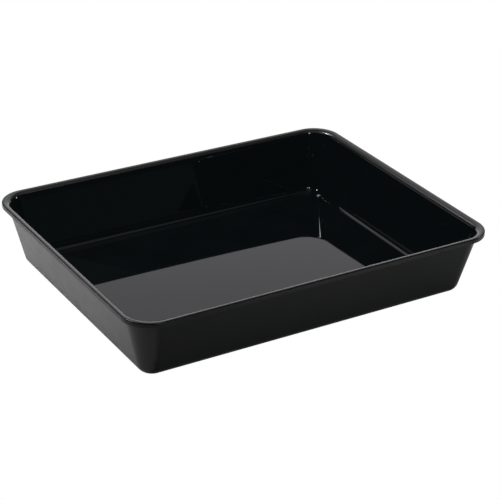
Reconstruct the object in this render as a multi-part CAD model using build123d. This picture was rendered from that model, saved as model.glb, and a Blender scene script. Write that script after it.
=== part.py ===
from build123d import *
from math import cos, pi, radians, sin, tan
import os

# A one-piece moulded tray: a shallow rectangular basin with flared walls and a rolled, turned-down rim.
# Millimetres, +Z up. The origin is the middle of the level face on which the tray stands.

# Rim
RIM_LENGTH = 380.0          # overall, along X
RIM_WIDTH = 296.0           # overall, along Y
HEIGHT = 65.0
RIM_CORNER_R = 27.5
LIP_DEPTH = 4.6             # how far the edge turns down
RIM_FLAT = 0.4              # level strip along the top
RIM_INNER_R = 6.3           # roll from the level strip into the wall
RIM_UNDER_R = 2.8           # rounding between the rim's underside and the wall
RIM_OUTER_R = 1.0           # rounding of the outer top edge
LIP_END_R = 0.4             # rounding of the lip's lower edges

# Walls and floor
WALL = 2.1
FLOOR = 2.2
DRAFT = radians(14.0)       # flare of the walls from the vertical
TOP_CORNER_R = 26.0         # outer corner of the walls, carried up to the top plane
BASE_CORNER_R = 13.0        # outer corner of the walls, carried down to the base plane
FLOOR_INNER_R = 8.0         # fillet between floor and wall
FLOOR_OUTER_R = 10.0        # rounding of the outer bottom edge
CROWN = 2.7                 # rise of the floor at its centre
CROWN_MARGIN = 1.6          # level strip between the floor's fillet and its crown
FOOT_WIDTH = 8.0            # level strip under the base, which touches the ground

SAME_HEIGHT = 0.001         # how near two heights are taken as one


def wall_inset_at_top():
    """Inset of the outer wall plane from the rim's outer face, at the top plane."""
    roll = RIM_INNER_R * (cos(DRAFT) - tan(DRAFT) * (1.0 - sin(DRAFT)))
    return RIM_OUTER_R + RIM_FLAT + roll - WALL / cos(DRAFT)


def outer_inset(z):
    """Inset of the outer wall plane from the rim's outer face, at height z."""
    return wall_inset_at_top() + tan(DRAFT) * (HEIGHT - z)


def inner_inset(z):
    """Inset of the inner wall plane from the rim's outer face, at height z."""
    return outer_inset(z) + WALL / cos(DRAFT)


def wall_corner_radius(z):
    """Outer corner radius of the walls at height z."""
    return BASE_CORNER_R + (TOP_CORNER_R - BASE_CORNER_R) * z / HEIGHT


def edge_rounding_run(radius):
    """How far a rounding between floor and wall runs along the floor."""
    return radius * tan((pi / 2 - DRAFT) / 2)


def outline(inset, radius, z):
    """Rounded rectangle at height z, inset from the rim's outer face."""
    return Pos(0, 0, z) * RectangleRounded(RIM_LENGTH - 2 * inset, RIM_WIDTH - 2 * inset, radius)


def edges_at(solid, z):
    """Edges that lie in the plane at height z."""
    return solid.edges().filter_by_position(Axis.Z, z - SAME_HEIGHT, z + SAME_HEIGHT)


def level_face(solid, z):
    """The level face at height z."""
    faces = solid.faces().filter_by(Plane.XY)
    return faces.filter_by_position(Axis.Z, z - SAME_HEIGHT, z + SAME_HEIGHT)[0]


def flared_block(low, high, z_low, bottom_r):
    """Solid with straight flanks between two outlines, its bottom edge rounded."""
    block = Solid.make_loft([low.wire(), high.wire()], ruled=True)
    return fillet(edges_at(block, z_low), bottom_r)


def outer_block():
    """Outside of the walls and floor."""
    low = outline(outer_inset(0), wall_corner_radius(0), 0)
    high = outline(outer_inset(HEIGHT), wall_corner_radius(HEIGHT), HEIGHT)
    return flared_block(low, high, 0, FLOOR_OUTER_R)


def cavity():
    """Inside of the walls and floor."""
    low = outline(inner_inset(FLOOR), wall_corner_radius(FLOOR) - WALL, FLOOR)
    high = outline(inner_inset(HEIGHT), wall_corner_radius(HEIGHT) - WALL, HEIGHT)
    return flared_block(low, high, FLOOR, FLOOR_INNER_R)


def rim():
    """Level flange with its edge turned down, before any rounding."""
    plate = extrude(outline(0, RIM_CORNER_R, HEIGHT - WALL), WALL)
    lip_outside = outline(0, RIM_CORNER_R, HEIGHT - LIP_DEPTH)
    lip_inside = outline(WALL, RIM_CORNER_R - WALL, HEIGHT - LIP_DEPTH)
    return plate + extrude(lip_outside - lip_inside, LIP_DEPTH)


def round_rim(body):
    """Roll the rim into the wall, and round the groove beneath it and the lip's edges."""
    body = fillet(level_face(body, HEIGHT - WALL).inner_wires()[0].edges(), RIM_UNDER_R)
    body = fillet(level_face(body, HEIGHT).inner_wires()[0].edges(), RIM_INNER_R)
    body = fillet(level_face(body, HEIGHT).outer_wire().edges(), RIM_OUTER_R)
    return fillet(edges_at(body, HEIGHT - LIP_DEPTH), LIP_END_R)


def crown(inset, z):
    """Shallow dome over a level rectangle at height z, inset from the rim's outer face.

    The dome is a biquadratic patch, whose rise falls to nothing along all four sides. Only its middle
    control point is raised, by four times the rise of the patch.
    """
    half_length = RIM_LENGTH / 2 - inset
    half_width = RIM_WIDTH / 2 - inset
    steps = (-1, 0, 1)
    net = [[(i * half_length, j * half_width, z) for j in steps] for i in steps]
    net[1][1] = (0, 0, z + 4 * CROWN)
    dome = Face.make_bezier_surface(net)
    return Solid(Shell([dome, Face(Wire(dome.edges()))]))


def crown_over_floor():
    """The crown inside, just clear of the fillet all round."""
    return crown(inner_inset(FLOOR) + edge_rounding_run(FLOOR_INNER_R) + CROWN_MARGIN, FLOOR)


def hollow_under_base():
    """The matching hollow underneath, which leaves a level foot all round."""
    return crown(outer_inset(0) + edge_rounding_run(FLOOR_OUTER_R) + FOOT_WIDTH, 0)


def build_tray():
    """The whole tray, one moulding."""
    body = round_rim(outer_block() + rim() - cavity())
    return body + crown_over_floor() - hollow_under_base()


tray = build_tray()
tray.label = "tray"
os.makedirs("parts", exist_ok=True)
export_step(tray, "parts/tray.step")
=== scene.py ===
import bpy
from math import acos, cos, pi, radians, sin, tan
from mathutils import Matrix, Vector


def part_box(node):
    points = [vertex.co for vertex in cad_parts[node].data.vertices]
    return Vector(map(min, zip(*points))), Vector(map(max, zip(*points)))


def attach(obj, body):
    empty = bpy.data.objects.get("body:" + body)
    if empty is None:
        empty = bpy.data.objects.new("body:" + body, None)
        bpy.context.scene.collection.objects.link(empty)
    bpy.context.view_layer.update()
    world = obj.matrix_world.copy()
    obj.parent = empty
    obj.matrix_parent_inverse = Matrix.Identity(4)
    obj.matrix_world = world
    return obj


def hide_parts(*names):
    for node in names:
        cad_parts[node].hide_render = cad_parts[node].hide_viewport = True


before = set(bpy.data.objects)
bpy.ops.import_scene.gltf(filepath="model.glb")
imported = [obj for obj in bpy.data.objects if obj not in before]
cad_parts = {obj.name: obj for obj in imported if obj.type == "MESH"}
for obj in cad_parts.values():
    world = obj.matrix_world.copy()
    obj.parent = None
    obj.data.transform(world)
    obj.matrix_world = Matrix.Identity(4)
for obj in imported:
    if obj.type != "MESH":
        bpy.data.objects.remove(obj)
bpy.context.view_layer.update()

# The origin is under the middle of the tray, so its highest corner holds its half sizes and its height.
HALF_LENGTH, HALF_WIDTH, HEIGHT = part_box("tray")[1]
MM = 0.001

# Section of the tray. An inset is measured from the rim's outer face towards the middle.
LIP_DEPTH = 4.6 * MM
RIM_CORNER_R = 27.5 * MM
RIM_FLAT = 0.4 * MM
RIM_INNER_R = 6.3 * MM
RIM_UNDER_R = 2.8 * MM       # rounding between the rim's underside and the wall
RIM_OUTER_R = 1.0 * MM
LIP_END_R = 0.4 * MM
GROOVE_R = 0.3 * MM          # where the lip meets the underside of the rim
WALL = 2.1 * MM
FLOOR = 2.2 * MM
DRAFT = radians(14)
TOP_CORNER_R = 26 * MM
BASE_CORNER_R = 13 * MM
FLOOR_INNER_R = 8 * MM
FLOOR_OUTER_R = 10 * MM
CROWN = 2.7 * MM
CROWN_MARGIN = 1.6 * MM
FOOT_WIDTH = 8 * MM
HOLLOW_CORNER_R = 2 * MM     # corners of the hollow under the base
GLOSS_START = 2.4 * MM       # how far below the rim's top the polished inside begins

# Mesh
CORNER_STEPS = 24
SIDE_STEPS = 12
WALL_STEPS = 6
FILLET_STEPS = 20
ROLL_STEPS = 76
ROLL_KEPT = 4                # only every fourth ring of the roll is kept
EDGE_STEPS = 8
LIP_STEPS = 5
UNDER_STEPS = 10
BASE_STEPS = 16
CROWN_RINGS = 22
CROWN_CROWDING = 1.4         # above 1, the crown's rings lie closer together towards its edge
INSIDE, OUTSIDE, RIM = range(3)     # the mesh's materials, in order

# Camera
VIEW_AZIMUTH = radians(-31.7)       # 0 looks along +Y
VIEW_ELEVATION = radians(26.99)
VIEW_ROLL = radians(1.57)
VIEW_DISTANCE = 1.616
VIEW_AIM = Vector((0.0024, -0.0138, 0.0325))
LENS_MM = 122.4
SENSOR_MM = 36.0

# Plastic: the darkest and lightest shade, and the smoothest and roughest finish
GLOSS_SHADES = (0.0006, 0.0006, 0.0007), (0.0012, 0.0012, 0.0013)
SATIN_SHADES = (0.0022, 0.0022, 0.0024), (0.0038, 0.0038, 0.0040)
INSIDE_FINISH = 0.015, 0.035
OUTSIDE_FINISH = 0.21, 0.27
RIM_FINISH = 0.36, 0.42
# Painted glow: the polished inside gives off a faint bluish light of its own, a painted haze that lightens
# its black evenly
PAINTED_GLOW_COLOUR = (0.5, 0.9, 1, 1)
PAINTED_GLOW_STRENGTH = 0.0028

# Studio
FLOOR_SIZE = 30.0
FLOOR_WHITE = 1.0
FLOOR_MATT = 0.58
FLOOR_GLOW = 0.04
FLOOR_GAP = 0.1 * MM         # keeps the floor just clear of the foot
ROOM_GREY = 0.008
BEHIND = 31.7                # azimuth straight behind the tray, as the camera sees it
KEY_AZIMUTH = -52
LAMP_TARGET = Vector((0, 0, 0.03))
FLAG_SIZE = (0.42, 0.5)
FLAG_PLACE = Vector((-0.42, -0.135, 0.415))

TOP_INSET = RIM_OUTER_R + RIM_FLAT + RIM_INNER_R * tan((pi / 2 - DRAFT) / 2) - WALL / cos(DRAFT)


def outer_inset(z):
    """Inset of the outer wall at height z."""
    return TOP_INSET + tan(DRAFT) * (HEIGHT - z)


def inner_inset(z):
    """Inset of the inner wall at height z."""
    return outer_inset(z) + WALL / cos(DRAFT)


def wall_corner_radius(z):
    """Outer corner radius of the walls at height z."""
    return BASE_CORNER_R + (TOP_CORNER_R - BASE_CORNER_R) * z / HEIGHT


def rounding_run(radius):
    """How far a rounding between a level face and a wall runs along the level face."""
    return radius * tan((pi / 2 - DRAFT) / 2)


def rounding(centre, radius, turns, corners, steps, hollow=False):
    """Rings round a rounding: (inset, height, corner radius, turn of the normal).

    A turn of 0 faces up and a quarter turn faces the middle. The corner radius goes from one of
    corners to the other as the inset does.
    """
    side = -1 if hollow else 1
    insets = [centre[0] + side * radius * sin(turn) for turn in turns]
    rings = []
    for i in range(steps + 1):
        turn = turns[0] + (turns[1] - turns[0]) * i / steps
        inset = centre[0] + side * radius * sin(turn)
        share = (inset - insets[0]) / (insets[1] - insets[0])
        corner = corners[0] + (corners[1] - corners[0]) * share
        rings.append((inset, centre[1] + side * radius * cos(turn), corner, turn))
    return rings


def between(first, last, steps):
    """Rings between two others on a straight flank."""
    rings = []
    for i in range(1, steps):
        rings.append(tuple(a + (b - a) * i / steps for a, b in zip(first, last)))
    return rings


def floor_fillet():
    """Rings from the floor inside to the foot of the walls."""
    wall_turn = pi / 2 - DRAFT
    run = rounding_run(FLOOR_INNER_R)
    centre = (inner_inset(FLOOR) + run, FLOOR + FLOOR_INNER_R)
    top = FLOOR + FLOOR_INNER_R * (1 - cos(wall_turn))
    corners = (wall_corner_radius(FLOOR) - WALL - run, wall_corner_radius(top) - WALL)
    return rounding(centre, FLOOR_INNER_R, (0, wall_turn), corners, FILLET_STEPS, hollow=True)


def rim_roll():
    """Rings of the rim's roll, from the wall up to the flat: the polished ones, then the satin ones."""
    wall_turn = pi / 2 - DRAFT
    centre = (RIM_OUTER_R + RIM_FLAT, HEIGHT - RIM_INNER_R)
    foot = HEIGHT - RIM_INNER_R * (1 - cos(wall_turn))
    corners = (wall_corner_radius(foot) - WALL, TOP_CORNER_R - WALL + rounding_run(RIM_INNER_R))
    rings = rounding(centre, RIM_INNER_R, (wall_turn, 0), corners, ROLL_STEPS)
    gloss_turn = acos(1 - GLOSS_START / RIM_INNER_R)
    border = min(range(len(rings)), key=lambda i: abs(rings[i][3] - gloss_turn))
    polished = rings[:border:ROLL_KEPT] + [rings[border]]
    satin = rings[:border:-ROLL_KEPT][::-1]
    return polished, satin


def rim_edge():
    """Rings round the rim's outer edge, the turned-down lip and the groove behind it."""
    end = HEIGHT - LIP_DEPTH + LIP_END_R
    groove_z = HEIGHT - WALL - GROOVE_R
    inside_r = RIM_CORNER_R - WALL
    edge = rounding((RIM_OUTER_R, HEIGHT - RIM_OUTER_R), RIM_OUTER_R, (0, -pi / 2),
                    (RIM_CORNER_R - RIM_OUTER_R, RIM_CORNER_R), EDGE_STEPS)
    lip_outside = rounding((LIP_END_R, end), LIP_END_R, (-pi / 2, -pi),
                           (RIM_CORNER_R, RIM_CORNER_R - LIP_END_R), LIP_STEPS)
    lip_inside = rounding((WALL - LIP_END_R, end), LIP_END_R, (-pi, -3 * pi / 2),
                          (inside_r + LIP_END_R, inside_r), LIP_STEPS)
    groove = rounding((WALL + GROOVE_R, groove_z), GROOVE_R, (-3 * pi / 2, -pi),
                      (inside_r, inside_r + GROOVE_R), LIP_STEPS, hollow=True)
    return edge + lip_outside + lip_inside + groove


def outer_wall():
    """Rings from the underside of the rim, down the wall, to the foot."""
    wall_turn = -pi / 2 - DRAFT
    underside = HEIGHT - WALL
    under_foot = underside - RIM_UNDER_R * (1 + cos(wall_turn))
    under_run = rounding_run(RIM_UNDER_R)
    under = rounding((outer_inset(underside) - under_run, underside - RIM_UNDER_R), RIM_UNDER_R,
                     (-pi, wall_turn),
                     (wall_corner_radius(underside) + under_run, wall_corner_radius(under_foot)),
                     UNDER_STEPS, hollow=True)
    base_top = FLOOR_OUTER_R * (1 + cos(wall_turn))
    base_run = rounding_run(FLOOR_OUTER_R)
    base = rounding((outer_inset(0) + base_run, FLOOR_OUTER_R), FLOOR_OUTER_R, (wall_turn, -pi),
                    (wall_corner_radius(base_top), BASE_CORNER_R - base_run), BASE_STEPS)
    return under + between(under[-1], base[0], WALL_STEPS) + base


def tray_section():
    """Rings of the polished inside, of the rim's roll, and of everything outside and underneath."""
    fillet = floor_fillet()
    polished, satin = rim_roll()
    inside = fillet + between(fillet[-1], polished[0], WALL_STEPS) + polished
    return inside, satin, rim_edge() + outer_wall()


def ring_outline(inset, corner):
    """Points round a rounded rectangle and the outward direction at each."""
    half_x, half_y = HALF_LENGTH - inset - corner, HALF_WIDTH - inset - corner
    signs = ((1, 1), (-1, 1), (-1, -1), (1, -1))
    points = []
    for quarter, (side_x, side_y) in enumerate(signs):
        centre = Vector((side_x * half_x, side_y * half_y))
        for step in range(CORNER_STEPS + 1):
            angle = (quarter + step / CORNER_STEPS) * pi / 2
            outward = Vector((cos(angle), sin(angle)))
            points.append((centre + corner * outward, outward))
        here, outward = points[-1]
        next_x, next_y = signs[(quarter + 1) % 4]
        there = Vector((next_x * half_x, next_y * half_y)) + corner * outward
        for step in range(1, SIDE_STEPS):
            points.append((here.lerp(there, step / SIDE_STEPS), outward))
    return points


def section_rings(section):
    """Points and normals all round the tray for each ring of a section."""
    rings = []
    for inset, z, corner, turn in section:
        points = []
        for place, outward in ring_outline(inset, corner):
            normal = Vector((*(-sin(turn) * outward), cos(turn)))
            points.append((Vector((*place, z)), normal))
        rings.append(points)
    return rings


def crown_rise(point, inset):
    """Rise of the crown over a rectangle of that inset, and its slopes along X and Y."""
    half_x, half_y = HALF_LENGTH - inset, HALF_WIDTH - inset
    u, v = point.x / half_x, point.y / half_y
    along_x, along_y = max(0, 1 - u * u), max(0, 1 - v * v)
    slope_x = -2 * u / half_x * along_y * CROWN if along_x else 0
    slope_y = -2 * v / half_y * along_x * CROWN if along_y else 0
    return CROWN * along_x * along_y, slope_x, slope_y


def crown_rings(inset, corner, z, side):
    """Rings from the edge of a crowned floor to its middle, each a list of points and normals.

    A side of 1 faces up and -1 down. The normals at the edge lie halfway between those of the level
    strip and the crown.
    """
    edge = ring_outline(inset, corner)
    rings = []
    for ring in range(CROWN_RINGS):
        share = 1 - (ring / CROWN_RINGS) ** CROWN_CROWDING
        settle = 0.5 if ring == 0 else 1
        points = []
        for place, outward in edge:
            place = share * place
            rise, slope_x, slope_y = crown_rise(place, inset)
            normal = side * Vector((-settle * slope_x, -settle * slope_y, 1)).normalized()
            points.append((Vector((*place, z + rise)), normal))
        rings.append(points)
    return rings


def skin_faces(ring_count, count):
    """Faces over rings of count vertices each, closed by a fan at both ends."""
    faces = [(0, 1 + i, 1 + (i + 1) % count) for i in range(count)]
    for ring in range(ring_count - 1):
        start = 1 + ring * count
        for i in range(count):
            j = (i + 1) % count
            faces.append((start + i, start + count + i, start + count + j, start + j))
    last = 1 + ring_count * count
    start = last - count
    faces.extend((last, start + (i + 1) % count, start + i) for i in range(count))
    return faces


def build_tray():
    """The moulding as one closed mesh, from the middle of its floor to the middle of its underside."""
    inside, rim, outside = tray_section()
    floor_inset, floor_z, floor_corner = inside[0][:3]
    foot_inset = outside[-1][0]
    upper = crown_rings(floor_inset + CROWN_MARGIN, floor_corner - CROWN_MARGIN, floor_z, 1)[::-1]
    lower = crown_rings(foot_inset + FOOT_WIDTH, HOLLOW_CORNER_R, 0, -1)
    rings = upper + section_rings(inside + rim + outside) + lower

    points = [(Vector((0, 0, FLOOR + CROWN)), Vector((0, 0, 1)))]
    for ring in rings:
        points.extend(ring)
    points.append((Vector((0, 0, CROWN)), Vector((0, 0, -1))))
    bands = [INSIDE] * (len(upper) + len(inside)) + [RIM] * len(rim)
    bands += [OUTSIDE] * (len(rings) + 1 - len(bands))
    count = len(rings[0])
    faces = skin_faces(len(rings), count)

    mesh = bpy.data.meshes.new("moulded_tray")
    mesh.from_pydata([place for place, normal in points], [], faces)
    mesh.materials.append(gloss_plastic())
    mesh.materials.append(satin_plastic("tray_outside", OUTSIDE_FINISH))
    mesh.materials.append(rim_plastic())
    mesh.polygons.foreach_set("material_index", [band for band in bands for i in range(count)])
    mesh.polygons.foreach_set("use_smooth", [True] * len(faces))
    mesh.normals_split_custom_set_from_vertices([normal for place, normal in points])
    tray = bpy.data.objects.new("moulded_tray", mesh)
    bpy.context.scene.collection.objects.link(tray)
    return tray


def new_material(name):
    material = bpy.data.materials.new(name)
    material.use_nodes = True
    return material


def add_noise(tree, scale, detail):
    """Noise over the object's own coordinates."""
    place = tree.nodes.new("ShaderNodeTexCoord")
    noise = tree.nodes.new("ShaderNodeTexNoise")
    noise.inputs["Scale"].default_value = scale
    noise.inputs["Detail"].default_value = detail
    tree.links.new(place.outputs["Object"], noise.inputs["Vector"])
    return noise


def spread(tree, noise, ends, target):
    """Feeds a noise into a socket, spread from the first of ends to the second."""
    span = tree.nodes.new("ShaderNodeMapRange")
    span.inputs["From Min"].default_value = 0.3
    span.inputs["From Max"].default_value = 0.7
    span.inputs["To Min"].default_value = ends[0]
    span.inputs["To Max"].default_value = ends[1]
    tree.links.new(noise.outputs["Fac"], span.inputs["Value"])
    tree.links.new(span.outputs["Result"], target)


def tint(tree, noise, shades, target):
    """Feeds a noise into a colour socket, from the first of shades to the second."""
    ramp = tree.nodes.new("ShaderNodeValToRGB")
    dark, light = ramp.color_ramp.elements
    dark.position = 0.35
    dark.color = (*shades[0], 1)
    light.position = 0.65
    light.color = (*shades[1], 1)
    tree.links.new(noise.outputs["Fac"], ramp.inputs["Fac"])
    tree.links.new(ramp.outputs["Color"], target)


def add_bump(tree, height, strength, distance, before=None):
    """Bump from a noise, on top of the bump that comes before it."""
    bump = tree.nodes.new("ShaderNodeBump")
    bump.inputs["Strength"].default_value = strength
    bump.inputs["Distance"].default_value = distance
    tree.links.new(height.outputs["Fac"], bump.inputs["Height"])
    if before:
        tree.links.new(before.outputs["Normal"], bump.inputs["Normal"])
    return bump


def gloss_plastic():
    """Polished black plastic: a mirror finish with the slight waviness of a moulding, and a faint painted
    glow, a painted haze of light over its black.
    """
    material = new_material("tray_inside")
    tree = material.node_tree
    shader = tree.nodes["Principled BSDF"]
    shader.inputs["IOR"].default_value = 1.5
    tint(tree, add_noise(tree, scale=24, detail=3), GLOSS_SHADES, shader.inputs["Base Color"])
    spread(tree, add_noise(tree, scale=60, detail=4), INSIDE_FINISH, shader.inputs["Roughness"])
    waves = add_bump(tree, add_noise(tree, scale=30, detail=1), strength=0.05, distance=0.2 * MM)
    tree.links.new(waves.outputs["Normal"], shader.inputs["Normal"])
    # painted glow: a faint bluish emission that lightens the black inside evenly, as painted haze
    shader.inputs["Emission Color"].default_value = PAINTED_GLOW_COLOUR
    shader.inputs["Emission Strength"].default_value = PAINTED_GLOW_STRENGTH
    return material


def satin_plastic(name, finish):
    """The same plastic as it leaves a fine-grained mould: satin, a little uneven."""
    material = new_material(name)
    tree = material.node_tree
    shader = tree.nodes["Principled BSDF"]
    shader.inputs["IOR"].default_value = 1.45
    tint(tree, add_noise(tree, scale=40, detail=4), SATIN_SHADES, shader.inputs["Base Color"])
    spread(tree, add_noise(tree, scale=90, detail=5), finish, shader.inputs["Roughness"])
    grain = add_bump(tree, add_noise(tree, scale=1500, detail=2), strength=0.15, distance=0.03 * MM)
    waves = add_bump(tree, add_noise(tree, scale=40, detail=1), strength=0.05, distance=0.2 * MM,
                     before=grain)
    tree.links.new(waves.outputs["Normal"], shader.inputs["Normal"])
    return material


def rim_plastic():
    """Satin plastic with the shine that handling gives the rim."""
    material = satin_plastic("tray_rim", RIM_FINISH)
    shader = material.node_tree.nodes["Principled BSDF"]
    shader.inputs["Coat Weight"].default_value = 0.6
    shader.inputs["Coat Roughness"].default_value = 0.06
    shader.inputs["Coat IOR"].default_value = 1.5
    return material


def camera_axes():
    """Right, up and backward directions of the camera."""
    backward = Vector((sin(VIEW_AZIMUTH) * cos(VIEW_ELEVATION),
                       -cos(VIEW_AZIMUTH) * cos(VIEW_ELEVATION),
                       sin(VIEW_ELEVATION)))
    right = (-backward).cross(Vector((0, 0, 1))).normalized()
    up = backward.cross(right)
    turn = Matrix.Rotation(VIEW_ROLL, 3, backward)
    return turn @ right, turn @ up, backward


def add_camera():
    right, up, backward = camera_axes()
    data = bpy.data.cameras.new("camera")
    data.lens = LENS_MM
    data.sensor_width = SENSOR_MM
    camera = bpy.data.objects.new("camera", data)
    turn = Matrix((right, up, backward)).transposed().to_4x4()
    camera.matrix_world = Matrix.Translation(VIEW_AIM + VIEW_DISTANCE * backward) @ turn
    bpy.context.scene.collection.objects.link(camera)
    bpy.context.scene.camera = camera


def add_plane(name, size, matrix, material):
    """A flat piece of the studio, which faces along its local Z."""
    half_x, half_y = size[0] / 2, size[1] / 2
    mesh = bpy.data.meshes.new(name)
    corners = [(-half_x, -half_y, 0), (half_x, -half_y, 0), (half_x, half_y, 0), (-half_x, half_y, 0)]
    mesh.from_pydata(corners, [], [(0, 1, 2, 3)])
    mesh.materials.append(material)
    plane = bpy.data.objects.new(name, mesh)
    plane.matrix_world = matrix
    bpy.context.scene.collection.objects.link(plane)
    return plane


def emission(name, strength, colour=(1, 1, 1)):
    material = new_material(name)
    tree = material.node_tree
    tree.nodes.clear()
    glow = tree.nodes.new("ShaderNodeEmission")
    glow.inputs["Color"].default_value = (*colour, 1)
    glow.inputs["Strength"].default_value = strength
    output = tree.nodes.new("ShaderNodeOutputMaterial")
    tree.links.new(glow.outputs[0], output.inputs["Surface"])
    return material


def matt(name, grey, glow):
    material = new_material(name)
    shader = material.node_tree.nodes["Principled BSDF"]
    shader.inputs["Emission Color"].default_value = (1, 1, 1, 1)
    shader.inputs["Emission Strength"].default_value = glow
    shader.inputs["Base Color"].default_value = (grey, grey, grey, 1)
    shader.inputs["Roughness"].default_value = 1.0
    shader.inputs["Specular IOR Level"].default_value = 0.0
    return material


def add_floor():
    """A white floor for the eye, and a matt one at the same height for reflections."""
    size = (FLOOR_SIZE, FLOOR_SIZE)
    place = Matrix.Translation(Vector((0, 0, -FLOOR_GAP)))
    seen = add_plane("floor", size, place, emission("floor_white", FLOOR_WHITE))
    seen.visible_glossy = False
    seen.visible_diffuse = False
    seen.visible_shadow = False
    seen.visible_transmission = False
    mirrored = add_plane("floor_in_reflections", size, place, matt("floor_matt", FLOOR_MATT, FLOOR_GLOW))
    mirrored.visible_camera = False


def direction(azimuth, elevation):
    """Unit vector at an azimuth from +Y towards +X and an elevation, in degrees."""
    a, e = radians(azimuth), radians(elevation)
    return Vector((sin(a) * cos(e), cos(a) * cos(e), sin(e)))


def facing(place, target):
    """Matrix at place whose local -Z looks at target."""
    backward = (place - target).normalized()
    right = Vector((0, 0, 1)).cross(backward).normalized()
    up = backward.cross(right)
    return Matrix.Translation(place) @ Matrix((right, up, backward)).transposed().to_4x4()


def add_card(name, azimuth, distance, width, height, glow, shift=0, colour=(1, 1, 1)):
    """A standing card that glows, square to its azimuth, which the camera doesn't see."""
    ahead = direction(azimuth, 0)
    aside = Vector((ahead.y, -ahead.x, 0))
    place = distance * ahead + shift * aside + Vector((0, 0, height / 2))
    turn = Matrix((aside, Vector((0, 0, 1)), -ahead)).transposed().to_4x4()
    card = add_plane(name, (width, height), Matrix.Translation(place) @ turn, emission(name, glow, colour))
    card.visible_camera = False
    card.visible_shadow = False


def add_lamp(name, azimuth, elevation, distance, size, radiance, colour=(1, 1, 1)):
    """A rectangular lamp at that place round the tray, of even radiance."""
    data = bpy.data.lights.new(name, "AREA")
    data.shape = "RECTANGLE"
    data.size, data.size_y = size
    data.energy = radiance * pi * size[0] * size[1]
    data.color = colour
    lamp = bpy.data.objects.new(name, data)
    lamp.matrix_world = facing(distance * direction(azimuth, elevation), LAMP_TARGET)
    lamp.visible_camera = False
    bpy.context.scene.collection.objects.link(lamp)
    return lamp


def add_lamp_face(name, azimuth, elevation, distance, size, radiance):
    """What mirror reflections see in front of a lamp. It neither lights nor shades anything else."""
    place = facing(distance * direction(azimuth, elevation), LAMP_TARGET)
    face = add_plane(name, size, place, emission(name, radiance))
    face.visible_camera = False
    face.visible_diffuse = False
    face.visible_shadow = False
    face.visible_transmission = False


def add_flag():
    """Keeps the key light off the ground in front of the tray."""
    flag = add_plane("flag", FLAG_SIZE, Matrix.Translation(FLAG_PLACE), matt("flag", 0, 0))
    flag.visible_camera = False
    flag.visible_glossy = False
    flag.visible_diffuse = False


def add_studio():
    add_card("backdrop", azimuth=BEHIND, distance=1.3, width=1.63, height=1.75, glow=0.77, shift=-0.015,
             colour=(1.0, 0.98, 1.02))
    add_card("horizon", azimuth=BEHIND, distance=1.28, width=1.63, height=0.24, glow=1.8, shift=-0.015)
    add_card("back_left", azimuth=-43, distance=1.5, width=0.4, height=0.2, glow=1.2)
    add_card("dim_left", azimuth=-42, distance=1.7, width=0.9, height=1.3, glow=0.12)
    add_lamp("key_light", KEY_AZIMUTH, elevation=53, distance=1.04, size=(0.10, 0.36), radiance=95)
    add_lamp_face("key_cover", KEY_AZIMUTH, elevation=53, distance=1.01, size=(0.13, 0.44), radiance=0)
    add_lamp_face("key_face", KEY_AZIMUTH, elevation=58, distance=1.0, size=(0.07, 0.21), radiance=50)
    add_lamp("front_light", azimuth=172, elevation=43, distance=1.5, size=(0.14, 0.4), radiance=16,
             colour=(0.85, 0.92, 1.0))
    add_lamp("right_light", azimuth=109, elevation=22, distance=1.5, size=(0.13, 0.25), radiance=20)
    add_lamp("overhead", azimuth=128, elevation=70, distance=1.5, size=(1.0, 0.7), radiance=0.22)
    fill = add_lamp("fill", azimuth=-100, elevation=75, distance=1.6, size=(1.0, 1.0), radiance=1.4)
    fill.visible_glossy = False
    add_flag()


def set_room():
    world = bpy.data.worlds.new("room")
    world.use_nodes = True
    background = world.node_tree.nodes["Background"]
    background.inputs["Color"].default_value = (1, 1, 1, 1)
    background.inputs["Strength"].default_value = ROOM_GREY
    bpy.context.scene.world = world
    bpy.context.scene.view_settings.view_transform = "Standard"


add_camera()
tray = build_tray()
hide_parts("tray")
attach(tray, "root")
add_floor()
add_studio()
set_room()
